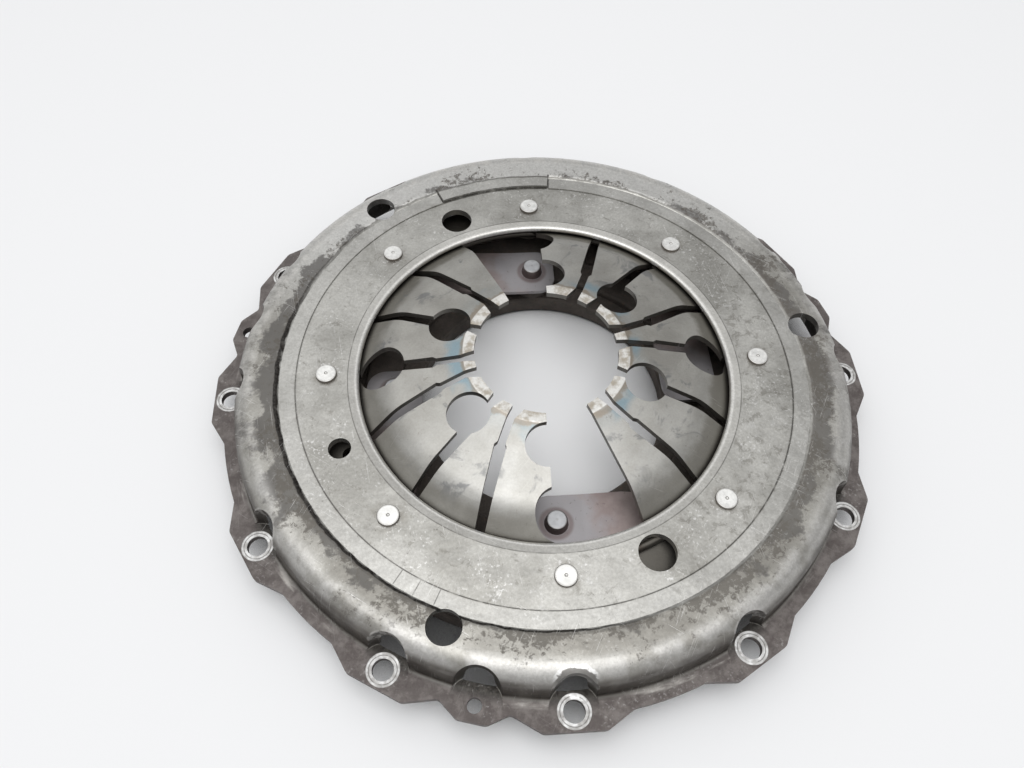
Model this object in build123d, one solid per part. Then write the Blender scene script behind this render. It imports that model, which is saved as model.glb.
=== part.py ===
from build123d import *
from math import cos, radians, sin, tan
import os

# Clutch pressure plate of the riveted diaphragm-spring type, in millimetres.
# Z = 0 is the face of the cover flange that bolts to the flywheel, +Z points to the gearbox.
# Clock angles are in degrees, counter-clockwise seen from +Z, and 0 points along -Y.

# ---- bearing and fitting gaps ---------------------------------------------------------
bearing_gap = 0.03          # left between two curved pieces that bear on each other
hole_gap = 0.05             # radial, round a rivet shank in its hole
rim_gap = 0.3               # between the spring's rim and the plate's fulcrum ridge
wire_gap = 0.3              # between the rivet shoulders and the fulcrum wires inside them
opening_gap = 0.6           # between the spring's rise and the edge of the cover's opening

# ---- rivets that hang the diaphragm spring on the cover -------------------------------
cover_rivet_count = 8
cover_rivet_circle_radius = 100.0
cover_rivet_shank_radius = 3.4
cover_rivet_shoulder_radius = 4.2
cover_rivet_head_radius = 4.75
cover_rivet_head_height = 1.5
cover_rivet_head_fillet = 0.5
cover_rivet_foot_radius = 7.4
cover_rivet_foot_height = 2.2
cover_rivet_foot_chamfer = 0.6
dimple_radius = 0.9

# ---- fulcrum wires and diaphragm spring -----------------------------------------------
wire_radius = 2.0
spring_thickness = 2.8
rim_width = 21.5            # of the spring, outside the fulcrum wires
rim_slope = 12.0            # degrees, of the closed conical rim
rise_slope = 36.0           # of the short steep part inside the rim
rise_width = 18.0
finger_slope = 11.0         # of the fingers
finger_length = 35.0        # from the rise to the flat tips
tip_length = 4.5            # flat end of a finger
rim_bend = 6.0              # bend radii, at the middle of the thickness
root_bend = 20.0
tip_bend = 4.0

slot_pitch = 22.5
slot_lean = {2: -2.2, 3: 0.0, 4: 2.3, 5: -4.1, 6: 0.0, 7: -4.0}   # mm sideways, at the step
slot_outer_width = 5.6
slot_root_width = 4.0
slot_inner_width = 3.6
slot_mouth_width = 6.0
slot_end_inset = 3.5        # centre of the hole that ends a slot, inside the rivet circle
slot_end_hole_radius = 3.2
rivet_window_gap = 1.2      # round the rivet shoulder in the spring
slot_step = 18.5            # from the finger tips to the step in the slot's width
slot_step_length = 1.5
slot_mouth = 6.0            # from the finger tips to where the slot starts to flare
tip_hole = 14.0             # from the finger tips to the centre of the inner round holes
tip_hole_radius = 9.7
tip_holes = {0: -4.0, 3: 0.2, 6: -5.8}      # slot number and degrees off that slot
root_hole = 42.0            # from the finger tips to the centre of the outer round holes
root_hole_radius = 10.5
root_hole_slots = (0, 4)
window_edge = 3.0           # from the pitch line to each edge of a missing finger's gap
window_end_inset = 8.0      # closed end of that gap, inside the rivet circle
window_corner = 4.0

# ---- cover: one pressing in sheet steel, from the opening outward ---------------------
sheet = 3.6
cover_height = 21.2         # top of the riveted ring above the flange face
opening_inset = 8.0         # edge of the opening, inside the fulcrum wires' circle
lip_width = 4.8             # shallow bevel round the opening
lip_drop = 0.6
lip_fillet = 1.4
opening_under_fillet = 1.4
band_offset = 13.9          # start of the coined band, outside the rivet circle
band_width = 8.0
band_rise = 0.4             # above the riveted ring
step_rise = 1.2             # outer roll above the riveted ring
step_run = 2.0
step_bend = 2.4             # at the middle of the sheet
roll_width = 21.1           # from the step to the outside of the skirt
roll_fillet = 9.0           # outside, between the roll's top and the skirt
root_fillet = 3.0           # outside, between the skirt and the flange
skirt_taper = 1.4           # how much narrower the skirt is at the top
flange_width = 6.6          # outside the skirt, between the lugs
pad_start_angle = 174.5
pad_end_angle = 203.0
pad_margin = 0.6

# ---- flange lugs, bolt and dowel holes ------------------------------------------------
bolt_count = 12
bolt_offset = 4.5           # bolt circle, outside the skirt
bolt_hole_radius = 4.4
bolt_seat_radius = 6.8
bolt_seat_depth = 0.3
lug_reach = 5.3             # beyond the flange
lug_top_half_angle = 4.6
lug_root_half_angle = 9.2
lug_fillet = 4.0
socket_cut_radius = 10.3    # vertical cut in the skirt that lets a socket onto the bolt
dowel_angles = (105, 255, 345)
dowel_offset = 5.2          # dowel circle, outside the skirt
dowel_hole_radius = 3.0
dowel_lug_reach = 4.8
dowel_lug_half_angle = 2.2
dowel_lug_root_half_angle = 5.3
dowel_cut_radius = 11.2

# ---- holes in the riveted ring and in the outer roll ----------------------------------
ring_hole_inset = 0.2       # inside the rivet circle
ring_holes = ((22.5, 8.0), (202.5, 7.75), (292.5, 5.0))   # clock angle, hole radius
roll_hole_offset = 5.4      # outside the step
roll_hole_angles = (97.5, 217.5, 337.5)
roll_hole_radius = 7.2

# ---- drive straps between cover and pressure plate ------------------------------------
strap_count = 4
leaf_thickness = 1.0
leaves_per_strap = 2
strap_width = 26.4
strap_overhang = 11.5       # beyond the plate rivet
strap_corner = 9.0
strap_cover_end_radius = 8.0
strap_taper_start = 30.0    # from the plate rivet, along the strap
strap_flat = 12.0           # flat landing at each rivet
strap_drop = 2.4            # plate end below cover end, at rest
strap_bend = 30.0
plate_rivet_shank_radius = 4.0
plate_rivet_base_radius = 5.3
plate_rivet_top_radius = 4.5
plate_rivet_head_height = 4.7
plate_rivet_head_fillet = 0.8
plate_rivet_foot_radius = 6.5
plate_rivet_foot_height = 2.6

# ---- cast pressure plate --------------------------------------------------------------
plate_drop = 14.8           # friction face below the flange face
plate_thickness = 10.0
friction_width = 40.5
bore_width = 17.0           # web inside the friction face
web_relief = 1.6            # web underside above the friction face
plate_margin = 1.3          # plate's edge outside the ridge
land_offset = 1.2           # raised land inside the strap rivets
land_width = 16.5
land_rise = 3.8
ridge_width = 5.3
ridge_inset = 2.45          # ridge's crest, inside the spring's edge
ridge_crest_radius = 2.4
ridge_gap_count = 16
ridge_gap_width = 12.0
ridge_gap_depth = 6.0
boss_radius = 11.0
boss_fillet = 1.5
casting_fillet = 1.6
edge_chamfer = 1.0

# ---- circles that follow from the sizes above, from the rivets inward -----------------
fulcrum_radius = cover_rivet_circle_radius - cover_rivet_shoulder_radius - wire_gap - wire_radius
spring_outer_radius = fulcrum_radius + rim_width
opening_radius = fulcrum_radius - opening_inset
slot_end_radius = cover_rivet_circle_radius - slot_end_inset
window_outer_radius = cover_rivet_circle_radius - window_end_inset
ring_hole_circle_radius = cover_rivet_circle_radius - ring_hole_inset

# ---- and outward ----------------------------------------------------------------------
band_inner_radius = cover_rivet_circle_radius + band_offset
step_radius = band_inner_radius + band_width
roll_hole_circle_radius = step_radius + roll_hole_offset
skirt_radius = step_radius + roll_width
flange_radius = skirt_radius + flange_width
bolt_circle_radius = skirt_radius + bolt_offset
dowel_circle_radius = skirt_radius + dowel_offset
lug_radius = flange_radius + lug_reach
dowel_lug_radius = flange_radius + dowel_lug_reach
ridge_radius = spring_outer_radius - ridge_inset
ridge_outer_radius = ridge_radius + ridge_width / 2
ridge_inner_radius = ridge_radius - ridge_width / 2
plate_outer_radius = ridge_outer_radius + plate_margin
friction_inner_radius = plate_outer_radius - friction_width
plate_bore_radius = friction_inner_radius - bore_width


def clock(angle, radius=0.0, z=0.0):
    """Place a feature at a clock angle, with its own +X pointing outward."""
    return Rot(0, 0, angle - 90) * Pos(radius, 0, z)


def revolved(section):
    return revolve(Plane.XZ * section, Axis.Z)


def disc(radius, bottom, top):
    return Pos(0, 0, bottom) * Cylinder(radius, top - bottom, align=(Align.CENTER, Align.CENTER, Align.MIN))


def tube(inner, outer, bottom, top):
    return disc(outer, bottom, top) - disc(inner, bottom, top)


def dimpled(head, z):
    """A small centre mark in the top of a formed rivet head."""
    return head - Pos(0, 0, z) * Sphere(dimple_radius)


# Levels that several pieces share, from the cover down to the friction face.
ring_under_z = cover_height - sheet
ring_middle_z = cover_height - sheet / 2
roll_top_z = cover_height + step_rise
above_all = 2 * cover_height + sheet
rim_tilt = 1 / cos(radians(rim_slope))
upper_wire_z = ring_under_z - wire_radius - bearing_gap
spring_top_at_fulcrum = upper_wire_z - (wire_radius + bearing_gap) * rim_tilt
spring_under_at_fulcrum = spring_top_at_fulcrum - spring_thickness * rim_tilt
lower_wire_z = spring_under_at_fulcrum - (wire_radius + bearing_gap) * rim_tilt
hanger_seat_z = lower_wire_z - wire_radius - bearing_gap
strap_thickness = leaf_thickness * leaves_per_strap
strap_cover_under_z = hanger_seat_z - strap_thickness
strap_plate_under_z = strap_cover_under_z - strap_drop
strap_plate_top_z = strap_plate_under_z + strap_thickness
friction_face_z = -plate_drop
web_under_z = friction_face_z + web_relief
web_top_z = friction_face_z + plate_thickness
rim_fall_to_ridge = tan(radians(rim_slope)) * (ridge_radius - fulcrum_radius)
ridge_top_z = spring_under_at_fulcrum - rim_fall_to_ridge - rim_gap * rim_tilt - ridge_crest_radius * (rim_tilt - 1)

# The straps run square to the plate rivets' radius, and end at the next cover rivet.
rivet_step = radians(360 / cover_rivet_count)
plate_rivet_circle_radius = cover_rivet_circle_radius * cos(rivet_step)
strap_length = cover_rivet_circle_radius * sin(rivet_step)
land_inner_radius = plate_rivet_circle_radius - land_offset
land_outer_radius = land_inner_radius + land_width

# The spring's rise clears the lower edge of the opening, and meets the rim at its foot.
edge_radius = opening_radius + opening_under_fillet
edge_z = ring_under_z + opening_under_fillet
rise_tan = tan(radians(rise_slope))
rim_tan = tan(radians(rim_slope))
rise_clearance = (opening_under_fillet + opening_gap) / cos(radians(rise_slope))
rise_foot_radius = (
    edge_z - rise_clearance + rise_tan * edge_radius - spring_top_at_fulcrum - rim_tan * fulcrum_radius
) / (rise_tan - rim_tan)
rise_foot_z = spring_top_at_fulcrum + rim_tan * (fulcrum_radius - rise_foot_radius)
rise_head_radius = rise_foot_radius - rise_width
rise_head_z = rise_foot_z + rise_tan * rise_width
tip_bend_radius = rise_head_radius - finger_length
tip_radius = tip_bend_radius - tip_length
tip_z = rise_head_z + tan(radians(finger_slope)) * finger_length
slot_step_radius = tip_radius + slot_step
slot_mouth_radius = tip_radius + slot_mouth
tip_hole_circle_radius = tip_radius + tip_hole
root_hole_circle_radius = tip_radius + root_hole


def lug_sketch(reach_radius, top_half_angle, root_half_angle):
    """Flange ear: a flat-topped bump that grows out of the round flange."""
    top_half = reach_radius * sin(radians(top_half_angle))
    root_half = flange_radius * sin(radians(root_half_angle))
    root_x = flange_radius * cos(radians(root_half_angle))
    ear = make_face(
        Polyline(
            (skirt_radius, -root_half),
            (root_x, -root_half),
            (reach_radius, -top_half),
            (reach_radius, top_half),
            (root_x, root_half),
            (skirt_radius, root_half),
            close=True,
        )
    )
    return fillet(ear.vertices().group_by(Axis.X)[-1], lug_fillet)


def cover():
    """Pressed cover: riveted ring, coined band, outer roll, skirt and bolting flange."""
    half = sheet / 2
    roll_middle_z = ring_middle_z + step_rise
    skirt_middle = skirt_radius - half
    middle = FilletPolyline(
        (opening_radius, ring_middle_z),
        (step_radius - step_run / 2, ring_middle_z),
        (step_radius + step_run / 2, roll_middle_z),
        (skirt_middle - skirt_taper, roll_middle_z),
        (skirt_middle, half),
        (flange_radius, half),
        radius=[step_bend, step_bend, roll_fillet - half, root_fillet + half],
    )
    pressing = revolved(trace(middle, line_width=sheet)) - lip_bevel()
    pressing = round_opening(pressing)
    pressing += tube(band_inner_radius, step_radius, ring_middle_z, cover_height + band_rise)
    pad = sector(band_inner_radius + pad_margin, step_radius + step_run, pad_start_angle, pad_end_angle)
    pressing += Pos(0, 0, ring_middle_z) * extrude(clock(0) * pad, roll_top_z - ring_middle_z)

    bolt_angles = [k * 360 / bolt_count for k in range(bolt_count)]
    for a in bolt_angles:
        pressing += clock(a) * extrude(lug_sketch(lug_radius, lug_top_half_angle, lug_root_half_angle), sheet)
    dowel_ear = lug_sketch(dowel_lug_radius, dowel_lug_half_angle, dowel_lug_root_half_angle)
    for a in dowel_angles:
        pressing += clock(a) * extrude(dowel_ear, sheet)

    cuts = []
    for a in bolt_angles:
        here = clock(a, bolt_circle_radius)
        cuts.append(here * disc(bolt_hole_radius, -sheet, 2 * sheet))
        cuts.append(here * disc(bolt_seat_radius, sheet - bolt_seat_depth, 2 * sheet))
        cuts.append(here * disc(socket_cut_radius, sheet, above_all))
    for a in dowel_angles:
        here = clock(a, dowel_circle_radius)
        cuts.append(here * disc(dowel_hole_radius, -sheet, 2 * sheet))
        cuts.append(here * disc(dowel_cut_radius, sheet, above_all))
    for a, radius in ring_holes:
        cuts.append(clock(a, ring_hole_circle_radius) * disc(radius, 0, above_all))
    for a in roll_hole_angles:
        cuts.append(clock(a, roll_hole_circle_radius) * disc(roll_hole_radius, sheet, above_all))
    for a in cover_rivet_angles():
        hole = disc(cover_rivet_shank_radius + hole_gap, 0, above_all)
        cuts.append(clock(a, cover_rivet_circle_radius) * hole)
    return pressing - cuts


def lip_bevel():
    """Ring of material that the shallow bevel round the opening takes off."""
    section = make_face(
        Polyline(
            (opening_radius - lip_width, cover_height - 2 * lip_drop),
            (opening_radius + lip_width, cover_height),
            (opening_radius - lip_width, cover_height),
            close=True,
        )
    )
    return revolved(section)


def round_opening(pressing):
    """Round both corners of the opening's edge."""
    for end, radius in ((-1, lip_fillet), (0, opening_under_fillet)):
        circles = pressing.edges().filter_by(GeomType.CIRCLE)
        rims = [e for e in circles if abs(e.radius - opening_radius) < bearing_gap]
        rims.sort(key=lambda e: e.center().Z)
        pressing = fillet(rims[end], radius)
    return pressing


def sector(inner, outer, start, end):
    """Ring sector between two clock angles, as a flat sketch."""
    half = (end - start) / 2
    reach = 2 * outer
    wedge = make_face(
        Polyline(
            (0, 0),
            (reach, -reach * tan(radians(half))),
            (reach, reach * tan(radians(half))),
            close=True,
        )
    )
    return Rot(0, 0, (start + end) / 2) * (wedge & (Circle(outer) - Circle(inner)))


def cover_rivet_angles():
    return [k * 360 / cover_rivet_count for k in range(cover_rivet_count)]


def strap_angles():
    return [k * 360 / strap_count for k in range(strap_count)]


def fulcrum_wire(z):
    return Pos(0, 0, z) * Torus(fulcrum_radius, wire_radius)


def cover_rivet(seat_z):
    """Shouldered rivet: formed head over the cover, shoulder through the spring, flat foot."""
    head_top_z = cover_height + cover_rivet_head_height
    head = disc(cover_rivet_head_radius, cover_height, head_top_z)
    head = fillet(head.edges().sort_by(Axis.Z)[-1], cover_rivet_head_fillet)
    head = dimpled(head, head_top_z + dimple_radius / 2)
    shank = disc(cover_rivet_shank_radius, seat_z, cover_height)
    shoulder = disc(cover_rivet_shoulder_radius, hanger_seat_z, ring_under_z)
    foot = disc(cover_rivet_foot_radius, seat_z - cover_rivet_foot_height, seat_z)
    foot = chamfer(foot.edges().sort_by(Axis.Z)[0], cover_rivet_foot_chamfer)
    return head + shank + shoulder + foot


def spring_shell():
    """Dished disc that the diaphragm spring is cut from."""
    rim_z = spring_top_at_fulcrum - rim_tan * rim_width
    top = FilletPolyline(
        (tip_radius, tip_z),
        (tip_bend_radius, tip_z),
        (rise_head_radius, rise_head_z),
        (rise_foot_radius, rise_foot_z),
        (spring_outer_radius, rim_z),
        radius=[tip_bend, root_bend, rim_bend],
    )
    middle = shifted(top, -spring_thickness / 2)
    return revolved(trace(middle, line_width=spring_thickness))


def shifted(line, rise):
    """The same bent line, moved square to itself: up for a positive rise, down for a negative one."""
    if rise == 0:
        return line
    side = Side.LEFT if rise > 0 else Side.RIGHT
    return line.offset_2d(abs(rise), side=side, closed=False)


def slot_sketch(index):
    """One slot between two fingers: wide outside, narrow inside, flared at the tips."""
    lean = slot_lean[index]
    outer = slot_outer_width / 2
    inner = slot_inner_width / 2
    mouth = slot_mouth_width / 2
    root = slot_root_width / 2
    throat = tip_radius - slot_step_length
    outline = Polyline(
        (slot_end_radius, root),
        (slot_step_radius, lean + outer),
        (slot_step_radius - slot_step_length, lean + inner),
        (slot_mouth_radius, lean + inner),
        (throat, lean / 2 + mouth),
        (throat, lean / 2 - mouth),
        (slot_mouth_radius, lean - inner),
        (slot_step_radius - slot_step_length, lean - inner),
        (slot_step_radius, lean - outer),
        (slot_end_radius, -root),
        close=True,
    )
    return make_face(outline) + Pos(slot_end_radius, 0) * Circle(slot_end_hole_radius)


def window_sketch():
    """Gap of one missing finger, between two edges that run along the pitch lines."""
    inside = tip_radius / 2
    beyond = 2 * window_outer_radius
    near_side = Pos(inside, 0) * Rectangle(beyond, 2 * beyond, align=(Align.MIN, Align.MIN))
    near_side = Pos(0, -window_edge) * near_side
    far_side = Pos(inside, window_edge) * Rectangle(beyond, 2 * beyond, align=(Align.MIN, Align.MAX))
    far_side = Rot(0, 0, slot_pitch) * far_side
    window = near_side & far_side & Circle(window_outer_radius)
    outer_corners = window.vertices().sort_by(lambda v: v.X**2 + v.Y**2)[-2:]
    return fillet(outer_corners, window_corner)


def diaphragm_spring():
    """Spring steel diaphragm with fourteen fingers and two windows."""
    flats = []
    for half_turn in (0, 180):
        flats.append(clock(half_turn) * window_sketch())
        for index in slot_lean:
            flats.append(clock(half_turn + index * slot_pitch) * slot_sketch(index))
        for index, offset_angle in tip_holes.items():
            a = half_turn + index * slot_pitch + offset_angle
            flats.append(clock(a, tip_hole_circle_radius) * Circle(tip_hole_radius))
        for index in root_hole_slots:
            a = half_turn + index * slot_pitch
            flats.append(clock(a, root_hole_circle_radius) * Circle(root_hole_radius))
    for a in cover_rivet_angles():
        window = Circle(cover_rivet_shoulder_radius + rivet_window_gap)
        flats.append(clock(a, cover_rivet_circle_radius) * window)
    spring = spring_shell()
    for flat in flats:
        spring -= extrude(flat, above_all)
    return spring


def strap_outline():
    """Strap seen from above: X runs along it from the plate rivet, Y outward."""
    half = strap_width / 2
    body = make_face(
        Polyline(
            (-strap_overhang, -half),
            (strap_taper_start, -half),
            (strap_length, -strap_cover_end_radius),
            (strap_length, strap_cover_end_radius),
            (strap_taper_start, half),
            (-strap_overhang, half),
            close=True,
        )
    )
    body = fillet(body.vertices().group_by(Axis.X)[0], strap_corner)
    body += Pos(strap_length, 0) * Circle(strap_cover_end_radius)
    body -= Circle(plate_rivet_shank_radius + hole_gap)
    body -= Pos(strap_length, 0) * Circle(cover_rivet_shank_radius + hole_gap)
    return body


def strap_leaf(layer):
    """One leaf of a strap: flat at both rivets, with a gentle rise between them."""
    low = strap_plate_under_z + strap_thickness / 2
    high = low + strap_drop
    pack_line = FilletPolyline(
        (-strap_width, low),
        (strap_flat, low),
        (strap_length - strap_flat, high),
        (strap_length + strap_width, high),
        radius=strap_bend,
    )
    leaf_line = shifted(pack_line, (layer + 0.5) * leaf_thickness - strap_thickness / 2)
    ribbon = extrude(Plane.XZ * trace(leaf_line, line_width=leaf_thickness), strap_width, both=True)
    column = extrude(strap_outline(), above_all, both=True)
    leaf = mirror(ribbon & column, about=Plane.XZ)
    return Pos(0, -plate_rivet_circle_radius, 0) * leaf


def plate_rivet():
    """Rivet that holds a strap on the pressure plate, with a tall tapered head."""
    head = Pos(0, 0, strap_plate_top_z) * Cone(
        plate_rivet_base_radius,
        plate_rivet_top_radius,
        plate_rivet_head_height,
        align=(Align.CENTER, Align.CENTER, Align.MIN),
    )
    head = fillet(head.edges().sort_by(Axis.Z)[-1], plate_rivet_head_fillet)
    shank = disc(plate_rivet_shank_radius, web_under_z, strap_plate_top_z)
    foot = disc(plate_rivet_foot_radius, web_under_z, web_under_z + plate_rivet_foot_height)
    return head + shank + foot


def pressure_plate():
    """Cast ring: flat friction face below, fulcrum ridge and strap bosses above."""
    web = tube(plate_bore_radius, plate_outer_radius, friction_face_z, web_top_z)
    web = chamfer(web.edges().filter_by(GeomType.CIRCLE), edge_chamfer)
    web -= disc(friction_inner_radius, friction_face_z - plate_thickness, web_under_z)
    land = tube(land_inner_radius, land_outer_radius, web_under_z, web_top_z + land_rise)
    land = fillet(land.edges().filter_by(GeomType.CIRCLE).group_by(Axis.Z)[-1], casting_fillet)
    casting = web + land + fulcrum_ridge()
    for a in strap_angles():
        boss = disc(boss_radius, web_under_z, strap_plate_under_z)
        boss = fillet(boss.edges().sort_by(Axis.Z)[-1], boss_fillet)
        casting += clock(a, plate_rivet_circle_radius) * boss
    sink_top_z = web_under_z + plate_rivet_foot_height
    hole = disc(plate_rivet_shank_radius + hole_gap, friction_face_z, cover_height)
    sink = disc(plate_rivet_foot_radius + hole_gap, friction_face_z - plate_thickness, sink_top_z)
    for a in strap_angles():
        casting -= clock(a, plate_rivet_circle_radius) * (hole + sink)
    return casting


def fulcrum_ridge():
    """Round-topped ridge that the spring's rim bears on, broken by cooling gaps."""
    crest_z = ridge_top_z - ridge_crest_radius
    shoulder = tube(ridge_inner_radius, ridge_outer_radius, web_under_z, crest_z)
    ridge = shoulder + Pos(0, 0, crest_z) * Torus(ridge_radius, ridge_crest_radius)
    gap = Box(
        2 * ridge_width,
        ridge_gap_width,
        ridge_gap_depth + ridge_crest_radius,
        align=(Align.CENTER, Align.CENTER, Align.MIN),
    )
    for k in range(ridge_gap_count):
        a = (k + 0.5) * 360 / ridge_gap_count
        ridge -= clock(a, ridge_radius, ridge_top_z - ridge_gap_depth) * gap
    return ridge


def write(name, shape):
    shape.label = name
    export_step(shape, f"parts/{name}.step")


def main():
    os.makedirs("parts", exist_ok=True)
    write("cover", cover())
    write("diaphragm_spring", diaphragm_spring())
    write("upper_fulcrum_wire", fulcrum_wire(upper_wire_z))
    write("lower_fulcrum_wire", fulcrum_wire(lower_wire_z))
    write("pressure_plate", pressure_plate())
    plain = cover_rivet(hanger_seat_z)
    strapped = cover_rivet(strap_cover_under_z)
    for k, a in enumerate(cover_rivet_angles()):
        rivet = strapped if k % 2 else plain
        write(f"cover_rivet_{k + 1}", clock(a, cover_rivet_circle_radius) * rivet)
    for k, a in enumerate(strap_angles()):
        for layer in range(leaves_per_strap):
            write(f"strap_{k + 1}_leaf_{layer + 1}", Rot(0, 0, a) * strap_leaf(layer))
        write(f"plate_rivet_{k + 1}", clock(a, plate_rivet_circle_radius) * plate_rivet())


main()
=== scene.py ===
import bpy
import math
from functools import reduce
from mathutils import Matrix, Vector


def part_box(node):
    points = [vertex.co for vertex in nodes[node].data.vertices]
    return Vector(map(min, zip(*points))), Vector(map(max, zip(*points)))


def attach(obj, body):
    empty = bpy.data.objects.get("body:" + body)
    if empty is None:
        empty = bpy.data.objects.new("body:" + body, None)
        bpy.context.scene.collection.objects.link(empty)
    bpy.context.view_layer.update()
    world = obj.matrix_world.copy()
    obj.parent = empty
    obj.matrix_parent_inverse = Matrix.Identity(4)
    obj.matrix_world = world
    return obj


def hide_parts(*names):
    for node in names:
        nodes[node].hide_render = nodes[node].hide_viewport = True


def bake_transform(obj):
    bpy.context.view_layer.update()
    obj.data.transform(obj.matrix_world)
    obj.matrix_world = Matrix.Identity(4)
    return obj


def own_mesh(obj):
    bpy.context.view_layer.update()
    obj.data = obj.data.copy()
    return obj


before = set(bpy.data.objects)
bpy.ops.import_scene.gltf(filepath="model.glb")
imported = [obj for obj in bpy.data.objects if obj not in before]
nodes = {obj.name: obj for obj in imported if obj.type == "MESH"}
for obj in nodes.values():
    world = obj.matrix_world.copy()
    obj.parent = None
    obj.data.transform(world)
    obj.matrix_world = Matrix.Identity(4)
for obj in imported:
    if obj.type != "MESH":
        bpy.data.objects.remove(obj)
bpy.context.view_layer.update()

FLOOR_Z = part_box("pressure_plate")[0].z

# Where things lie on the part, for the masks in the materials: radii and heights in millimetres,
# clock angles in degrees, counter-clockwise seen from above, with 0 along -Y.
TIP_END = 37.6
PLATE_RIVET_CIRCLE, PLATE_RIVETS, PLATE_RIVET_HEAD = 70.7, 4, 4.5
FRICTION_INNER = 76.0
LIP_START, LIP_END = 86.9, 90.3
RIVET_CIRCLE, COVER_RIVETS, COVER_RIVET_HEAD = 100.0, 8, 4.75
BAND_START, BAND_END = 113.9, 121.9
SHOULDER_START, SKIRT = 134.0, 143.0
BOLT_CIRCLE, BOLTS, BOLT_SEAT, SOCKET_CUT = 147.5, 12, 6.8, 10.3
DOWEL_CIRCLE, DOWEL_ANGLES, DOWEL_CUT = 148.2, (105, 255, 345), 11.2
RING_TOP, SHEET = 21.2, 3.6
CRACK_ANGLES = (325.5, 329.8, 334.2)
PAD_MIDDLE, PAD_HALF = 188.75, 14.25
BRUISE_ANGLE = 0
NEAR_SIDE, GRIMY_SIDE = 5, 80

# Colours, linear. A pair holds the two ends of one finish.
COVER_STEEL = (0.325, 0.318, 0.295), (0.485, 0.478, 0.45)
COVER_TAN = (0.27, 0.26, 0.235), (0.40, 0.39, 0.36)
COVER_PLUM = (0.085, 0.070, 0.068), (0.175, 0.155, 0.148)
SEAT_STEEL = (0.43, 0.42, 0.405), (0.78, 0.78, 0.77)
CLEAN_STEEL = (0.60, 0.595, 0.575)
SHOULDER_HIGHLIGHT = (0.58, 0.57, 0.55)
BAND_STEEL = (0.50, 0.495, 0.475)
LIP_STEEL = (0.50, 0.49, 0.465)
LIP_HIGHLIGHT = (0.72, 0.71, 0.68)
CUT_RIM = (0.55, 0.54, 0.52)
ROLL_STREAK = (0.66, 0.645, 0.61)
ROOT_HIGHLIGHT = (0.45, 0.43, 0.40)
SKIRT_STREAK = (0.22, 0.205, 0.18)
SKIRT_SHADE = (0.068, 0.060, 0.053)
SMOKE_GREY = (0.085, 0.080, 0.077)
MOTTLE_BROWN = (0.090, 0.079, 0.067)
HALO_BROWN = (0.175, 0.160, 0.135)
GRIME = (0.165, 0.155, 0.135)
DULL_FILM = (0.20, 0.19, 0.17)
PALE_SMEAR = (0.62, 0.615, 0.60)
SCUFF = (0.74, 0.735, 0.72)
SCRATCH = (0.70, 0.69, 0.67)
BURR = (0.86, 0.855, 0.84)
FLAP_SHADE = (0.10, 0.095, 0.088)
SEAT_STEP_SHADE = (0.13, 0.12, 0.115)
CUT_WALL_SHADE = (0.045, 0.040, 0.037)
DEEP_SHADE_AND_CRACKS = (0.012, 0.010, 0.009)
PIT = (0.11, 0.10, 0.085)
COVER_GRAIN = (0.15, 0.14, 0.125)
FACING_DOWN_DARK = (0.060, 0.052, 0.044)

SPRING_STEEL = (0.285, 0.275, 0.250), (0.37, 0.36, 0.33)
WORN_TIP = (0.40, 0.36, 0.30), (0.70, 0.69, 0.66)
SPRING_PALER = (0.50, 0.495, 0.475)
SPRING_RIM = (0.125, 0.115, 0.092)
SPRING_UNDER_COVER_SHADE = (0.045, 0.040, 0.034)
SPRING_SMUDGE = (0.135, 0.140, 0.148)
SPRING_GREASE = (0.12, 0.108, 0.088)
SPRING_EDGE_SHADE = (0.095, 0.086, 0.074)
SPRING_SCRATCH = (0.55, 0.54, 0.50)
SPRING_GRAIN = (0.13, 0.12, 0.10)
BLUE_TINT = (0.235, 0.320, 0.362)
STRAW_TINT = (0.235, 0.175, 0.115)

STRAP_STEEL = (0.225, 0.182, 0.174), (0.32, 0.27, 0.258)
STRAP_END = (0.29, 0.287, 0.297)
STRAP_RING = (0.13, 0.088, 0.082)
STRAP_SPECK = (0.07, 0.055, 0.05)

CAST_SKIN = (0.060, 0.050, 0.043), (0.110, 0.093, 0.080)
CAST_RUST = (0.150, 0.092, 0.058)
CAST_HOLLOW = (0.040, 0.035, 0.031)
GROUND_STEEL = (0.30, 0.29, 0.275), (0.50, 0.49, 0.47)
HEAT_SPOT = (0.16, 0.17, 0.21)

COVER_RIVET_FACE, COVER_RIVET_SIDE = (0.80, 0.795, 0.77), (0.20, 0.18, 0.16)
PLATE_RIVET_FACE, PLATE_RIVET_SIDE = (0.46, 0.465, 0.475), (0.18, 0.142, 0.138)
RIVET_CORNER_SHADE = (0.24, 0.22, 0.20)
RIVET_DOT = (0.20, 0.19, 0.17)
RIVET_SCRATCH = (0.2, 0.19, 0.175)

WIRE_STEEL_SHADED = (0.055, 0.050, 0.043), (0.12, 0.112, 0.098)
WIRE_STAIN = (0.055, 0.042, 0.033)

FLOOR_TONE = (0.010, 0.010, 0.011), (0.80, 0.802, 0.806)


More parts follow.
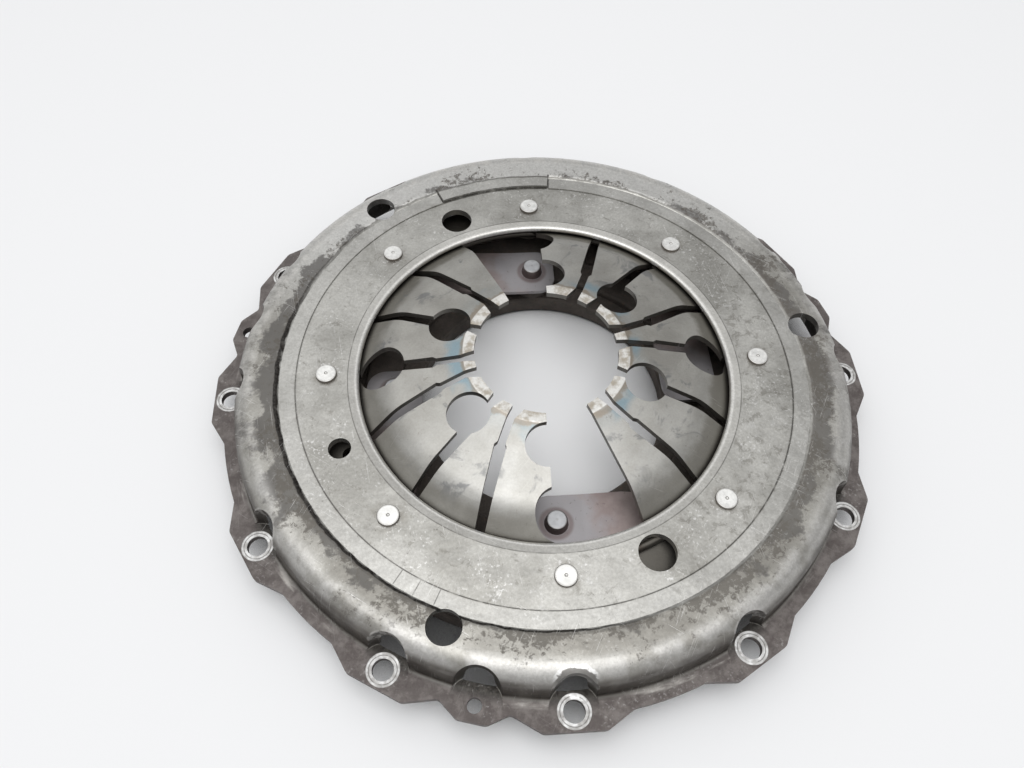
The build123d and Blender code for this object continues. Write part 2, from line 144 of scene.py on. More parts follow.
class Graph:
    """Short calls for nodes and the maths between them. A value is a number or a node's output."""

    def __init__(self, node_tree):
        self.nodes = node_tree.nodes
        self.links = node_tree.links

    def put(self, socket, value):
        if isinstance(value, bpy.types.NodeSocket):
            self.links.new(value, socket)
        else:
            socket.default_value = value

    def math(self, operation, a, b=0.0):
        node = self.nodes.new("ShaderNodeMath")
        node.operation = operation
        self.put(node.inputs[0], a)
        self.put(node.inputs[1], b)
        return node.outputs[0]

    def vector(self, operation, a, b, output="Vector"):
        node = self.nodes.new("ShaderNodeVectorMath")
        node.operation = operation
        self.put(node.inputs[0], a)
        self.put(node.inputs[1], b)
        return node.outputs[output]

    def add(self, *values):
        return reduce(lambda a, b: self.math("ADD", a, b), values)

    def times(self, *values):
        return reduce(lambda a, b: self.math("MULTIPLY", a, b), values)

    def maximum(self, *values):
        return reduce(lambda a, b: self.math("MAXIMUM", a, b), values)

    def minus(self, a, b):
        return self.math("SUBTRACT", a, b)

    def size_of(self, a):
        return self.math("ABSOLUTE", a)

    def flip(self, a):
        return self.minus(1.0, a)

    def blend(self, factor, a, b):
        """Number between a and b."""
        return self.add(self.times(self.flip(factor), a), self.times(factor, b))

    def remap(self, value, low, high, to_low=0.0, to_high=1.0):
        """Smooth step from to_low at low to to_high at high, where high may be the smaller one."""
        node = self.nodes.new("ShaderNodeMapRange")
        node.interpolation_type = "SMOOTHSTEP"
        self.put(node.inputs["Value"], value)
        node.inputs["From Min"].default_value = low
        node.inputs["From Max"].default_value = high
        node.inputs["To Min"].default_value = to_low
        node.inputs["To Max"].default_value = to_high
        return node.outputs["Result"]

    def colour(self, factor, a, b):
        """Colour between a and b, each an RGB triple or a node's output."""
        node = self.nodes.new("ShaderNodeMix")
        node.data_type = "RGBA"
        self.put(node.inputs["Factor"], factor)
        sockets = [s for s in node.inputs if s.type == "RGBA"]
        for socket, value in zip(sockets, (a, b)):
            self.put(socket, value if isinstance(value, bpy.types.NodeSocket) else (*value, 1.0))
        return [s for s in node.outputs if s.type == "RGBA"][0]


class Steel(Graph):
    """A metal's material, painted in layers. Lengths are in millimetres, and masks run from 0 to 1."""

    def __init__(self, name):
        self.material = bpy.data.materials.new(name)
        self.material.use_nodes = True
        super().__init__(self.material.node_tree)
        self.shader = self.nodes["Principled BSDF"]
        coords = self.nodes.new("ShaderNodeTexCoord")
        self.position = self.vector("MULTIPLY", coords.outputs["Object"], (1000, 1000, 1000))
        split = self.nodes.new("ShaderNodeSeparateXYZ")
        self.put(split.inputs[0], self.position)
        x, y, self.z = split.outputs
        normal = self.nodes.new("ShaderNodeSeparateXYZ")
        self.put(normal.inputs[0], coords.outputs["Normal"])
        self.facing_up = normal.outputs[2]
        self.radius = self.hypotenuse(x, y)
        self.clock = self.math("ARCTAN2", x, self.times(y, -1))
        self.skin = None

    def hypotenuse(self, a, b):
        return self.math("SQRT", self.add(self.times(a, a), self.times(b, b)))

    def paint(self, mask, colour, strength=None):
        """Lays a colour over the skin by a mask."""
        if strength is not None:
            mask = self.times(mask, strength)
        self.skin = self.colour(mask, self.skin, colour)

    def between(self, value, low, high, soft=0.4):
        rising = self.remap(value, low - soft, low + soft)
        falling = self.remap(value, high - soft, high + soft, 1.0, 0.0)
        return self.times(rising, falling)

    def noise(self, size, detail=4.0, roughness=0.55, distortion=0.0, offset=0.0):
        """Noise with features about size millimetres across."""
        node = self.nodes.new("ShaderNodeTexNoise")
        scaled = self.vector("MULTIPLY", self.position, (1 / size, 1 / size, 1 / size))
        self.put(node.inputs["Vector"], self.vector("ADD", scaled, (offset, 2 * offset, 3 * offset)))
        node.inputs["Scale"].default_value = 1.0
        node.inputs["Detail"].default_value = detail
        node.inputs["Roughness"].default_value = roughness
        node.inputs["Distortion"].default_value = distortion
        return node.outputs[0]

    def patches(self, size, low, high, to_low=0.0, to_high=1.0, **noise):
        """Patches about size millimetres across, which change over where the noise passes low to high."""
        return self.remap(self.noise(size, **noise), low, high, to_low, to_high)

    def polar_noise(self, along, across, detail=3.0, roughness=0.6, offset=0.0):
        """Noise drawn out round the axis: along and across are its sizes in millimetres."""
        joined = self.nodes.new("ShaderNodeCombineXYZ")
        self.put(joined.inputs[0], self.times(self.math("SINE", self.clock), 100 / along))
        self.put(joined.inputs[1], self.times(self.math("COSINE", self.clock), 100 / along))
        outward_and_up = self.add(self.times(self.radius, 1 / across), self.times(self.z, 1 / across))
        self.put(joined.inputs[2], outward_and_up)
        node = self.nodes.new("ShaderNodeTexNoise")
        self.put(node.inputs["Vector"], self.vector("ADD", joined.outputs[0], (offset, offset, offset)))
        node.inputs["Scale"].default_value = 1.0
        node.inputs["Detail"].default_value = detail
        node.inputs["Roughness"].default_value = roughness
        return node.outputs[0]

    def scratches(self, turn, length, width, level, offset=0.0):
        """Sparse fine straight scratches, turned about Z by so many degrees."""
        rotate = self.nodes.new("ShaderNodeVectorRotate")
        rotate.rotation_type = "Z_AXIS"
        self.put(rotate.inputs["Vector"], self.position)
        rotate.inputs["Angle"].default_value = math.radians(turn)
        node = self.nodes.new("ShaderNodeTexNoise")
        scaled = self.vector("MULTIPLY", rotate.outputs[0], (1 / length, 1 / width, 1 / length))
        self.put(node.inputs["Vector"], self.vector("ADD", scaled, (offset, offset, offset)))
        node.inputs["Scale"].default_value = 1.0
        node.inputs["Detail"].default_value = 1.0
        thin = self.remap(node.outputs[0], level, level + 0.03)
        return self.times(thin, self.patches(18, 0.5, 0.62, detail=2.0, offset=offset + 5))

    def distance_to_copies(self, circle, count, offset_degrees=0.0):
        """Distance in plan to the nearest of count points spread evenly round a circle."""
        step = 2 * math.pi / count
        shifted = self.add(self.clock, math.radians(360 - offset_degrees) + step / 2)
        local = self.minus(self.math("MODULO", shifted, step), step / 2)
        outward = self.minus(self.times(self.radius, self.math("COSINE", local)), circle)
        sideways = self.times(self.radius, self.math("SINE", local))
        return self.hypotenuse(outward, sideways)

    def clock_band(self, centre, half, soft=0.4):
        """1 within half degrees of a clock angle."""
        wrap = self.nodes.new("ShaderNodeMath")
        wrap.operation = "WRAP"
        self.put(wrap.inputs[0], self.minus(self.clock, math.radians(centre)))
        wrap.inputs[1].default_value = math.pi
        wrap.inputs[2].default_value = -math.pi
        away = self.size_of(wrap.outputs[0])
        return self.remap(away, math.radians(half - soft), math.radians(half + soft), 1.0, 0.0)

    def towards(self, centre):
        """1 at a clock angle and 0 across the axis from it, with a smooth change between."""
        return self.remap(self.math("COSINE", self.minus(self.clock, math.radians(centre))), -1.0, 1.0)

    def both_sides(self):
        """1 at clock 90 and 270, and 0 at clock 0 and 180."""
        sine = self.math("SINE", self.clock)
        return self.times(sine, sine)

    def finish(self, roughness, metallic, height, strength, distance):
        """Joins the skin to the shader. The bump's distance is in millimetres."""
        self.put(self.shader.inputs["Base Color"], self.skin)
        self.put(self.shader.inputs["Roughness"], roughness)
        self.put(self.shader.inputs["Metallic"], metallic)
        bump = self.nodes.new("ShaderNodeBump")
        bump.inputs["Strength"].default_value = strength
        bump.inputs["Distance"].default_value = distance / 1000
        self.put(bump.inputs["Height"], height)
        self.put(self.shader.inputs["Normal"], bump.outputs[0])
        return self.material


class CoverSteel(Steel):
    """The pressed cover. Each method paints one zone, and later ones lie over earlier ones."""

    def __init__(self):
        super().__init__("cover_steel")
        self.cloud = self.noise(30, detail=5, roughness=0.6)
        self.skin = self.colour(self.remap(self.cloud, 0.35, 0.65), *COVER_STEEL)
        self.sides = self.both_sides()
        self.near = self.towards(NEAR_SIDE)
        self.right = self.remap(self.towards(GRIMY_SIDE), 0.62, 0.90)
        self.far = self.remap(self.near, 0.30, 0.08)
        self.find_cuts()
        self.paint_roll()
        self.paint_skirt_and_flange()
        self.paint_cuts()
        self.paint_ring()
        self.paint_lip_and_band()
        self.paint_lines()
        self.paint_screw_seats()
        self.paint_rubbed_cuts()
        self.paint_wear()

    def find_cuts(self):
        """A mask of the upright cuts over the screws and dowels, and the distance to their edges."""
        self.from_bolt = self.distance_to_copies(BOLT_CIRCLE, BOLTS)
        self.in_cut = self.remap(self.from_bolt, SOCKET_CUT - 0.5, SOCKET_CUT + 0.1, 1.0, 0.0)
        self.cut_edge = self.size_of(self.minus(self.from_bolt, SOCKET_CUT))
        for angle in DOWEL_ANGLES:
            from_dowel = self.distance_to_copies(DOWEL_CIRCLE, 1, angle)
            in_dowel_cut = self.remap(from_dowel, DOWEL_CUT - 0.5, DOWEL_CUT + 0.1, 1.0, 0.0)
            self.in_cut = self.maximum(self.in_cut, in_dowel_cut)
            dowel_edge = self.size_of(self.minus(from_dowel, DOWEL_CUT))
            self.cut_edge = self.math("MINIMUM", self.cut_edge, dowel_edge)

    def paint_roll(self):
        """Outer roll: tan steel, cleaner on the far side, with smoke-grey patches, brown mottling and a
        painted highlight on the near shoulder.
        """
        roll = self.remap(self.radius, BAND_END - 0.2, BAND_END + 0.8)
        self.paint(roll, self.colour(self.patches(34, 0.38, 0.62, detail=4, offset=9), *COVER_TAN))
        self.paint(self.times(roll, self.remap(self.near, 0.35, 0.0, 0.0, 0.9)), CLEAN_STEEL)
        inward = self.remap(self.radius, BAND_END, SHOULDER_START, 0.10, -0.16)
        smoke_level = self.add(
            self.noise(17, detail=5, roughness=0.6, offset=2),
            inward,
            self.times(self.sides, 0.22),
            self.times(self.clock_band(GRIMY_SIDE, 48, 22), 0.04),
            self.patches(3.5, 0.3, 0.7, -0.035, 0.035, detail=5, roughness=0.7, offset=27),
            self.remap(self.near, 0.85, 1.0, 0.0, -0.05),
            self.times(self.far, -0.06),
        )
        self.smoke = self.times(roll, self.remap(smoke_level, 0.57, 0.65))
        self.paint(self.smoke, SMOKE_GREY, 0.82)
        mottle_level = self.add(
            self.noise(2.9, detail=6, roughness=0.74, distortion=0.4, offset=5),
            self.times(inward, 0.42),
            self.patches(24, 0.35, 0.65, -0.08, 0.07, detail=3, offset=15),
            self.times(self.far, -0.05),
            self.times(self.right, 0.035),
        )
        self.mottle = self.times(roll, self.remap(mottle_level, 0.505, 0.58))
        self.paint(self.mottle, MOTTLE_BROWN, 0.8)
        dulled = self.times(roll, self.remap(self.radius, 127, 134, 1.0, 0.0), self.near)
        self.paint(dulled, DULL_FILM, 0.35)
        streaks = self.remap(self.polar_noise(5, 7, detail=5, roughness=0.7, offset=14), 0.42, 0.58)
        streaks = self.times(roll, self.remap(self.radius, 131, 135), self.flip(self.near), streaks)
        self.paint(streaks, ROLL_STREAK, 0.85)
        # A painted highlight on the near shoulder of the roll.
        shoulder = self.times(
            self.remap(self.radius, 130, 136),
            self.remap(self.z, RING_TOP - 8, RING_TOP - 3),
            self.patches(13, 0.38, 0.6, 0.1, 0.8, detail=4, offset=12),
            self.near,
        )
        self.paint(shoulder, SHOULDER_HIGHLIGHT)

    def paint_skirt_and_flange(self):
        """Painted shade on the skirt, deeper towards the bolting face, almost plum on the lugs, with painted
        highlight streaks at their root.
        """
        # Painted shade on the skirt, deeper as it turns away from facing up, with lighter streaks through
        # it.
        low = self.times(
            self.remap(self.facing_up, 0.86, 0.42),
            self.remap(self.radius, SHOULDER_START, SHOULDER_START + 2),
            self.patches(11, 0.3, 0.55, 0.78, 1.0, detail=3, offset=19),
        )
        self.paint(low, SKIRT_SHADE, 0.94)
        streaks = self.remap(self.polar_noise(4, 40, detail=4, offset=4), 0.45, 0.72, 0.0, 0.35)
        self.paint(self.times(low, streaks), SKIRT_STREAK)
        outside = self.remap(self.radius, SKIRT - 1, SKIRT + 1.5)
        self.flange = self.times(self.remap(self.z, SHEET + 1.6, SHEET), outside)
        plum_mix = self.patches(7, 0.4, 0.66, detail=5, roughness=0.7, offset=6)
        self.paint(self.flange, self.colour(plum_mix, *COVER_PLUM), 0.94)
        # Painted highlight streaks along the root of the flange, outside the cuts.
        root = self.times(
            self.between(self.radius, SKIRT + 0.6, SKIRT + 3.4, 0.8),
            self.flip(self.in_cut),
            self.remap(self.z, 8, 5),
            self.remap(self.polar_noise(16, 5, detail=5, offset=8), 0.50, 0.66),
        )
        self.paint(root, ROOT_HIGHLIGHT, 0.8)

    def paint_cuts(self):
        """Painted deep shade on the flange inside the cuts, and painted shade on the walls round them."""
        cavity = self.times(self.in_cut, self.remap(self.radius, 148, 141.5), self.remap(self.z, 9, 6))
        self.paint(cavity, DEEP_SHADE_AND_CRACKS, 0.95)
        upright = self.remap(self.size_of(self.facing_up), 0.25, 0.5, 1.0, 0.0)
        self.paint(self.times(upright, self.remap(self.cut_edge, 0.5, 0.25)), CUT_WALL_SHADE, 0.85)

    def paint_ring(self):
        """Riveted ring: brown halos at the rivets, grime and dull film, pale smears and bright scuffs."""
        from_rivet = self.distance_to_copies(RIVET_CIRCLE, COVER_RIVETS)
        halo = self.times(
            self.remap(from_rivet, 4.7, 10, 1.0, 0.0),
            self.patches(6, 0.44, 0.68, detail=4, offset=21),
        )
        self.paint(halo, HALO_BROWN, 0.55)
        ring = self.between(self.radius, 91, 121.5, 0.5)
        grime_level = self.add(
            self.noise(5, detail=6, roughness=0.72, distortion=0.6, offset=25),
            self.times(self.clock_band(75, 50, 20), 0.045),
        )
        self.paint(self.times(ring, self.remap(grime_level, 0.56, 0.66)), GRIME, 0.5)
        film = self.patches(11, 0.58, 0.72, detail=5, roughness=0.7, offset=31)
        self.paint(self.times(ring, film), DULL_FILM, 0.42)
        smear = self.times(
            self.between(self.radius, 91, 113.4, 0.6),
            self.patches(8, 0.58, 0.68, detail=6, roughness=0.75, offset=41),
            self.near,
        )
        self.paint(smear, PALE_SMEAR, 0.55)
        scuffs = self.times(
            self.patches(1.3, 0.58, 0.65, detail=4, offset=45),
            self.patches(15, 0.47, 0.60, detail=3, offset=47),
            self.remap(self.radius, 90, 94),
            self.remap(self.radius, 118, 124, 1.0, 0.3),
        )
        self.paint(scuffs, SCUFF, 0.6)

    def paint_lip_and_band(self):
        """A bright lip round the opening with a painted highlight along its rounded edge, and a lighter
        coined band.
        """
        self.paint(self.remap(self.radius, LIP_END - 0.5, LIP_END + 0.1, 1.0, 0.0), LIP_STEEL, 0.5)
        self.paint(self.remap(self.radius, LIP_START + 0.9, LIP_START), LIP_HIGHLIGHT, 0.75)
        self.paint(self.between(self.radius, BAND_START + 0.4, BAND_END - 0.8, 0.5), BAND_STEEL, 0.4)

    def paint_lines(self):
        """Painted shade along the lip, both steps and the raised pad's outline, and dark fine cracks in the
        band.
        """
        broken = self.patches(4, 0.3, 0.5, 0.45, 1.0, detail=4, offset=51)
        lip_line = self.between(self.radius, LIP_END - 0.1, LIP_END + 0.3, 0.2)
        band_line = self.between(self.radius, BAND_START - 0.5, BAND_START + 0.1, 0.25)
        band_line = self.times(band_line, self.add(0.35, self.times(self.near, 0.5)))
        lines = self.maximum(self.times(lip_line, 0.6), band_line)
        for angle in CRACK_ANGLES:
            along = self.between(self.radius, BAND_START, BAND_END - 1.2, 0.3)
            lines = self.maximum(lines, self.times(self.clock_band(angle, 0.11, 0.07), along, 0.6))
        pad = self.times(
            self.clock_band(PAD_MIDDLE, PAD_HALF, 0.2),
            self.between(self.radius, BAND_START - 0.3, BAND_START + 1.1, 0.2),
        )
        pad_ends = self.minus(
            self.clock_band(PAD_MIDDLE, PAD_HALF + 0.35, 0.15),
            self.clock_band(PAD_MIDDLE, PAD_HALF - 0.1, 0.15),
        )
        pad_ends = self.times(pad_ends, self.between(self.radius, BAND_START, BAND_END + 1.5, 0.3))
        lines = self.maximum(lines, self.times(self.maximum(pad, pad_ends), 0.9))
        lines = self.times(lines, broken, self.remap(self.facing_up, 0.3, 0.6))

        # The painted shade in the groove beside the outer roll is ragged and wider on the left, and fades
        # right and far.
        ragged = self.add(self.radius, self.patches(7, 0.3, 0.7, -0.35, 0.35, detail=5, offset=55))
        widened = self.minus(ragged, self.times(self.sides, self.flip(self.right)))
        groove = self.times(
            self.remap(ragged, BAND_END - 0.9, BAND_END - 0.3),
            self.remap(widened, BAND_END + 0.1, BAND_END + 0.6, 1.0, 0.0),
            self.remap(self.z, RING_TOP - 3, RING_TOP - 2),
            self.flip(self.maximum(self.times(self.right, 0.7), self.times(self.far, 0.45))),
            self.add(0.5, self.times(broken, 0.5)),
        )
        self.paint(self.maximum(lines, groove), DEEP_SHADE_AND_CRACKS)

    def paint_screw_seats(self):
        """Screw seats rubbed bright, each with a dark step inside it."""
        seat = self.times(
            self.remap(self.from_bolt, BOLT_SEAT - 0.25, BOLT_SEAT + 0.25, 1.0, 0.0),
            self.between(self.z, SHEET - 0.7, SHEET - 0.1, 0.15),
        )
        step = self.times(
            self.between(self.from_bolt, 5.45, 5.85, 0.15),
            self.patches(4, 0.35, 0.5, 0.2, 0.8, detail=3, offset=65),
        )
        steel = self.colour(self.patches(3, 0.35, 0.65, detail=5, offset=61), *SEAT_STEEL)
        self.paint(seat, self.colour(step, steel, SEAT_STEP_SHADE))

    def paint_rubbed_cuts(self):
        """Bright edges on the socket cuts, and a burr over a flattened flap above the nearest one."""
        high = self.remap(self.z, RING_TOP - 10, RING_TOP - 8)
        rim = self.times(
            self.between(self.from_bolt, SOCKET_CUT - 0.3, SOCKET_CUT + 0.6, 0.25),
            high,
            self.patches(3, 0.42, 0.6, detail=4, offset=75),
        )
        self.paint(rim, CUT_RIM, 0.5)
        above_cut = self.times(self.clock_band(BRUISE_ANGLE, 3.4, 0.5), high)
        flap = self.between(self.from_bolt, SOCKET_CUT - 0.1, SOCKET_CUT + 2.0, 0.3)
        self.paint(self.times(above_cut, flap), FLAP_SHADE, 0.75)
        wavy = self.add(self.from_bolt, self.patches(5, 0.3, 0.7, -0.6, 0.6, detail=3, offset=73))
        burr = self.times(
            above_cut,
            self.between(wavy, SOCKET_CUT + 1.7, SOCKET_CUT + 3.1, 0.25),
            self.patches(2.2, 0.36, 0.48, detail=4, offset=71),
        )
        self.paint(burr, BURR)

    def paint_wear(self):
        """Fine scratches, pits and grain over all of it, and a darker colour where it faces down."""
        marks = self.maximum(
            self.scratches(35, 22, 0.30, 0.69),
            self.scratches(-62, 16, 0.26, 0.70, offset=7),
            self.scratches(80, 30, 0.34, 0.70, offset=13),
        )
        self.marks = self.times(marks, self.flip(self.times(self.flange, 0.75)))
        self.paint(self.marks, SCRATCH, 0.6)
        self.pits = self.patches(2.6, 0.66, 0.73, detail=4, roughness=0.7, offset=3)
        self.paint(self.pits, PIT, 0.5)
        self.grain = self.noise(1.1, detail=3, roughness=0.7)
        self.paint(self.remap(self.grain, 0.3, 0.7, 0.0, 0.26), COVER_GRAIN)
        # Darker where the surface faces down.
        self.paint(self.remap(self.facing_up, 0.05, -0.3), FACING_DOWN_DARK, 0.85)

    def done(self):
        dirty = self.maximum(self.smoke, self.times(self.mottle, 0.8), self.flange)
        rough = self.add(self.remap(self.cloud, 0.3, 0.7, 0.37, 0.46), self.times(dirty, 0.14))
        metal = self.blend(self.times(dirty, 0.7), 0.90, 0.30)
        dents = self.noise(13, detail=3, roughness=0.6, offset=33)
        height = self.add(self.times(self.grain, 0.35), self.times(self.flip(self.pits), 0.9))
        height = self.add(self.minus(height, self.times(self.marks, 0.25)), self.times(dents, 8.0))
        self.shader.inputs["Specular IOR Level"].default_value = 0.25
        return self.finish(rough, metal, height, strength=0.4, distance=0.12)


def spring_steel():
    t = Steel("spring_steel")
    cloud = t.noise(22, detail=5, roughness=0.62)
    grain = t.noise(0.9, detail=3, roughness=0.7)
    near = t.towards(-20)
    ends = t.flip(t.both_sides())
    t.skin = t.colour(t.remap(cloud, 0.36, 0.64), *SPRING_STEEL)

    # Lighter fingers near and far, a dark rim under the cover's lip, painted shade where the spring runs
    # under the cover, smudges and grease.
    paler_fingers = t.times(t.add(0.08, t.times(t.add(near, ends), 0.39)), t.remap(t.radius, 80, 75))
    t.paint(t.times(paler_fingers, t.patches(18, 0.35, 0.6, 0.4, 0.9, offset=7)), SPRING_PALER)
    rim = t.remap(t.add(t.radius, t.patches(14, 0.3, 0.7, -2, 2, offset=3)), 74, 79)
    t.paint(t.times(rim, t.blend(near, 0.85, 0.25)), SPRING_RIM)
    # Painted shade on the spring where it runs under the cover.
    t.paint(t.remap(t.radius, 82.5, 85.5), SPRING_UNDER_COVER_SHADE, 0.8)
    smudge = t.patches(15, 0.555, 0.65, detail=4, roughness=0.6, distortion=0.8, offset=11)
    t.paint(t.times(smudge, t.between(t.radius, 48, 78, 4)), SPRING_SMUDGE, 0.62)
    t.paint(t.patches(3.2, 0.61, 0.70, detail=6, roughness=0.75, offset=17), SPRING_GREASE, 0.45)

    # Heat tint behind the tips in patches, and the tips rubbed bright by the release bearing.
    wavy = t.add(t.radius, t.patches(9, 0.3, 0.7, -1.5, 1.5, offset=23))
    blue = t.between(wavy, TIP_END + 0.8, 45.0, 2.4)
    t.paint(t.times(blue, t.patches(19, 0.46, 0.60, 0.1, 1.0, detail=2, offset=37)), BLUE_TINT, 0.95)
    t.paint(t.between(wavy, TIP_END - 1, TIP_END + 2.0, 0.8), STRAW_TINT, 0.55)
    tip = t.times(t.remap(t.radius, TIP_END - 0.2, TIP_END + 0.3, 1.0, 0.0), t.remap(t.facing_up, 0.7, 0.85))
    t.paint(tip, t.colour(t.patches(4, 0.36, 0.6, detail=5, offset=29), *WORN_TIP))

    # The punched edges get painted shade, darker than the rolled faces.
    t.paint(t.remap(t.size_of(t.facing_up), 0.35, 0.6, 1.0, 0.0), SPRING_EDGE_SHADE, 0.7)
    marks = t.maximum(t.scratches(12, 14, 0.3, 0.70), t.scratches(-48, 20, 0.28, 0.71, offset=9))
    t.paint(marks, SPRING_SCRATCH, 0.35)
    t.paint(t.remap(grain, 0.3, 0.7, 0.0, 0.14), SPRING_GRAIN)
    rough = t.blend(tip, t.remap(cloud, 0.3, 0.7, 0.38, 0.50), 0.48)
    height = t.add(grain, t.times(t.noise(6, detail=3, offset=2), 2.0))
    return t.finish(rough, 0.85, height, strength=0.25, distance=0.1)


def strap_steel():
    t = Steel("strap_steel")
    from_rivet = t.distance_to_copies(PLATE_RIVET_CIRCLE, PLATE_RIVETS)
    cloud = t.noise(16, detail=5, roughness=0.6)
    t.skin = t.colour(t.remap(cloud, 0.35, 0.65), *STRAP_STEEL)
    reach = t.add(from_rivet, t.patches(9, 0.3, 0.7, -4, 4, offset=3))
    t.paint(t.remap(reach, 12, 26, 1.0, 0.0), STRAP_END, 0.8)
    t.paint(t.between(from_rivet, 5.4, 7.6, 0.8), STRAP_RING, 0.6)
    t.paint(t.patches(2.0, 0.62, 0.7, detail=5, roughness=0.7, offset=9), STRAP_SPECK, 0.5)
    rough = t.remap(cloud, 0.3, 0.7, 0.42, 0.56)
    return t.finish(rough, 0.75, t.noise(1.2, detail=4), strength=0.25, distance=0.1)


def cast_plate():
    t = Steel("cast_plate")
    casting = t.noise(1.8, detail=6, roughness=0.7)
    t.skin = t.colour(t.patches(20, 0.35, 0.65, detail=5), *CAST_SKIN)
    t.paint(t.patches(4, 0.55, 0.7, detail=6, roughness=0.75, offset=8), CAST_RUST, 0.5)
    t.paint(t.remap(casting, 0.3, 0.7, 0.0, 0.4), CAST_HOLLOW)

    # The friction face is ground, with rings left by the clutch disc and spots of heat.
    face = t.remap(t.z, 1000 * FLOOR_Z + 0.5, 1000 * FLOOR_Z + 0.2)
    ground = t.times(face, t.remap(t.radius, FRICTION_INNER - 0.5, FRICTION_INNER + 0.2))
    rings = t.polar_noise(60, 0.7, detail=4)
    steel = t.colour(t.remap(rings, 0.3, 0.7), *GROUND_STEEL)
    heat = t.remap(t.polar_noise(35, 22, detail=2, offset=7), 0.52, 0.7)
    t.paint(ground, t.colour(t.times(heat, 0.45), steel, HEAT_SPOT))
    rough = t.blend(ground, 0.78, 0.36)
    metal = t.blend(ground, 0.25, 0.95)
    height = t.blend(ground, t.times(casting, 2.0), t.times(rings, 0.3))
    return t.finish(rough, metal, height, strength=0.6, distance=0.25)


def rivet_steel(name, circle, count, head_radius, face, side):
    """Bright top face with painted shade round its corner and a dot at its middle, and darker sides."""
    t = Steel(name)
    away = t.distance_to_copies(circle, count)
    top = t.remap(t.facing_up, 0.55, 0.85)
    worn_face = tuple(0.78 * c for c in face)
    tone = t.colour(t.patches(2.4, 0.32, 0.68, detail=5, roughness=0.65), worn_face, face)
    t.skin = t.colour(top, side, tone)
    t.paint(t.between(away, head_radius - 0.7, head_radius + 0.2, 0.25), RIVET_CORNER_SHADE, 0.4)
    t.paint(t.times(t.remap(away, 0.4, 0.8, 1.0, 0.0), top), RIVET_DOT, 0.3)
    t.paint(t.scratches(25, 6, 0.2, 0.66), RIVET_SCRATCH, 0.35)
    rough = t.patches(1.2, 0.3, 0.7, 0.40, 0.56, detail=4)
    return t.finish(rough, 0.85, t.noise(0.8, detail=4), strength=0.3, distance=0.08)


def wire_steel():
    t = Steel("wire_steel")
    pull = t.polar_noise(120, 0.5, detail=3)
    # The wires' steel is painted dark as painted shade, for they lie under the cover's ring.
    t.skin = t.colour(t.remap(pull, 0.35, 0.65), *WIRE_STEEL_SHADED)
    t.paint(t.patches(5, 0.52, 0.68, detail=5), WIRE_STAIN, 0.6)
    return t.finish(0.42, 0.85, pull, strength=0.2, distance=0.05)


def floor_material():
    """Pale floor, darkened by ambient occlusion where the part stands close over and round it."""
    material = bpy.data.materials.new("floor")
    material.use_nodes = True
    graph = Graph(material.node_tree)
    open_above = graph.nodes.new("ShaderNodeAmbientOcclusion")
    open_above.samples = 6
    open_above.inputs["Distance"].default_value = 0.042
    shader = graph.nodes["Principled BSDF"]
    tone = graph.colour(graph.remap(open_above.outputs["AO"], 0.25, 0.43), *FLOOR_TONE)
    graph.put(shader.inputs["Base Color"], tone)
    shader.inputs["Roughness"].default_value = 0.75
    shader.inputs["Specular IOR Level"].default_value = 0.15
    return material


def dress(pieces, material):
    for piece in pieces:
        piece.data.materials.clear()
        piece.data.materials.append(material)


def stand_in(node, name, material):
    """A copy of a CAD piece with its own mesh and material, put in place of the piece, which is hidden."""
    source = nodes[node]
    piece = bpy.data.objects.new(name, source.data.copy())
    piece.matrix_world = source.matrix_world.copy()
    bpy.context.scene.collection.objects.link(piece)
    dress([piece], material)
    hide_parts(node)
    return piece


# ---- materials on the CAD pieces ------------------------------------------------------
dress([nodes["cover"]], CoverSteel().done())
dress([nodes["pressure_plate"]], cast_plate())
dress([nodes["upper_fulcrum_wire"], nodes["lower_fulcrum_wire"]], wire_steel())
cover_rivet = (RIVET_CIRCLE, COVER_RIVETS, COVER_RIVET_HEAD, COVER_RIVET_FACE, COVER_RIVET_SIDE)
cover_rivets = [nodes[f"cover_rivet_{k}"] for k in range(1, COVER_RIVETS + 1)]
dress(cover_rivets, rivet_steel("cover_rivet_steel", *cover_rivet))
plate_rivet = (PLATE_RIVET_CIRCLE, PLATE_RIVETS, PLATE_RIVET_HEAD, PLATE_RIVET_FACE, PLATE_RIVET_SIDE)
plate_rivets = [nodes[f"plate_rivet_{k}"] for k in range(1, PLATE_RIVETS + 1)]
dress(plate_rivets, rivet_steel("plate_rivet_steel", *plate_rivet))

# ---- the spring and the straps are copied to stand in for their CAD pieces -------------
spring = stand_in("diaphragm_spring", "spring_leaf", spring_steel())
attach(spring, "cover_body")
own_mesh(spring)
strap_material = strap_steel()
for k in range(PLATE_RIVETS):
    for layer in (1, 2):
        node, name = f"strap_{k + 1}_leaf_{layer}", f"strap_blade_{k + 1}_{layer}"
        leaf = stand_in(node, name, strap_material)
        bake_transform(leaf)

# ---- floor ------------------------------------------------------------------------------
# One triangle, so that no edge runs under the part, and just clear of the friction face.
FLOOR_REACH, FLOOR_GAP = 60, 0.0002
floor_corners = [
    (FLOOR_REACH * math.cos(angle), FLOOR_REACH * math.sin(angle), FLOOR_Z - FLOOR_GAP)
    for angle in (math.radians(degrees) for degrees in (90, 210, 330))
]
floor_mesh = bpy.data.meshes.new("floor")
floor_mesh.from_pydata(floor_corners, [], [(0, 1, 2)])
floor_mesh.materials.append(floor_material())
floor = bpy.data.objects.new("floor", floor_mesh)
bpy.context.scene.collection.objects.link(floor)

# ---- sky --------------------------------------------------------------------------------
SKY_COLOUR = (0.985, 0.99, 1.0, 1.0)
EVEN_LIGHT = 0.20
WALL_LEVEL = 0.86
WALL_FADES, WALL_ENDS = 0.22, 0.55         # heights on the unit sphere

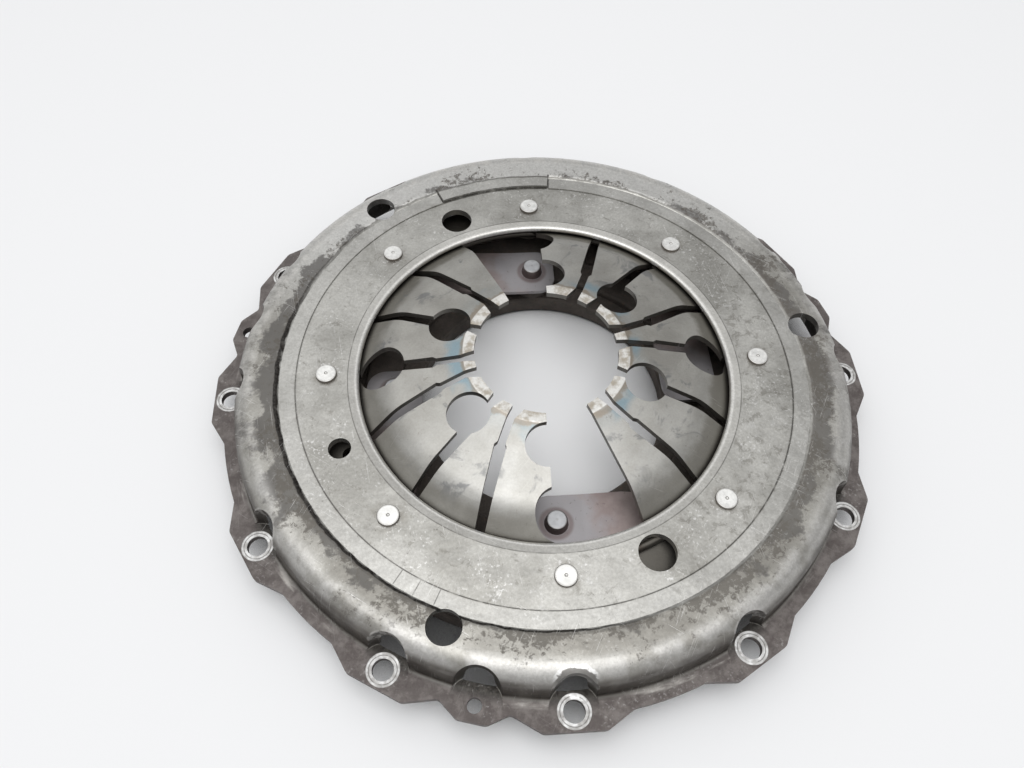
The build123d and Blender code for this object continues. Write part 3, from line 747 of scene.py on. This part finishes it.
world = bpy.data.worlds.new("studio")
bpy.context.scene.world = world
world.use_nodes = True
sky = Graph(world.node_tree)
sky_direction = sky.nodes.new("ShaderNodeTexCoord").outputs["Generated"]


def glow(direction, sharpness, strength):
    """Light that is strongest in one direction and falls off smoothly round it."""
    facing = sky.vector("DOT_PRODUCT", sky_direction, Vector(direction).normalized(), "Value")
    return sky.times(sky.math("POWER", sky.maximum(facing, 0.0), sharpness), strength)


soft_ceiling = glow((0, 0.02, 1), 2.4, 0.95)
behind_camera = glow((0.05, -0.58, 0.81), 10.0, 0.75)
far_left = glow((-0.38, 0.50, 0.78), 9.0, 0.50)
left_side = glow((-0.72, 0.0, 0.69), 8.0, 0.35)
lights = sky.add(EVEN_LIGHT, soft_ceiling, behind_camera, far_left, left_side)

# A pale wall near the horizon, for camera, glossy and transmission rays only: it shows behind the
# part and mirrors in its metal, but sends it no diffuse light.
sky_split = sky.nodes.new("ShaderNodeSeparateXYZ")
sky.put(sky_split.inputs[0], sky_direction)
wall = sky.remap(sky_split.outputs[2], WALL_FADES, WALL_ENDS, WALL_LEVEL, 0.0)
path = sky.nodes.new("ShaderNodeLightPath")
sees_wall = sky.add(*(path.outputs[f"Is {kind} Ray"] for kind in ("Camera", "Glossy", "Transmission")))
background = sky.nodes["Background"]
background.inputs["Color"].default_value = SKY_COLOUR
sky.put(background.inputs["Strength"], sky.maximum(sky.times(wall, sees_wall), lights))

# ---- lamp -------------------------------------------------------------------------------
lamp_data = bpy.data.lights.new("ceiling_lamp", "AREA")
lamp_data.size = 1.1
lamp_data.energy = 9.0
lamp = bpy.data.objects.new("ceiling_lamp", lamp_data)
lamp.location = (-0.08, -0.20, 1.6)
lamp.rotation_euler = Vector(lamp.location).to_track_quat("Z", "Y").to_euler()
bpy.context.scene.collection.objects.link(lamp)

# ---- camera, placed by the photograph ---------------------------------------------------
CAMERA_PLACE = (-0.03535, -0.20373, 0.3335)
CAMERA_RIGHT = Vector((0.99776, -0.0630, 0.02325)).normalized()
CAMERA_BACK = Vector((-0.0531, -0.5281, 0.8475)).normalized()

camera_data = bpy.data.cameras.new("camera")
camera_data.lens = 28.45
camera_data.sensor_width = 36
camera_data.clip_start = 0.01
camera = bpy.data.objects.new("camera", camera_data)
bpy.context.scene.collection.objects.link(camera)
camera_up = CAMERA_BACK.cross(CAMERA_RIGHT).normalized()
square_right = camera_up.cross(CAMERA_BACK).normalized()
camera_turn = Matrix((square_right, camera_up, CAMERA_BACK)).transposed().to_4x4()
camera.matrix_world = Matrix.Translation(CAMERA_PLACE) @ camera_turn
bpy.context.scene.camera = camera
bpy.context.scene.view_settings.view_transform = "Standard"
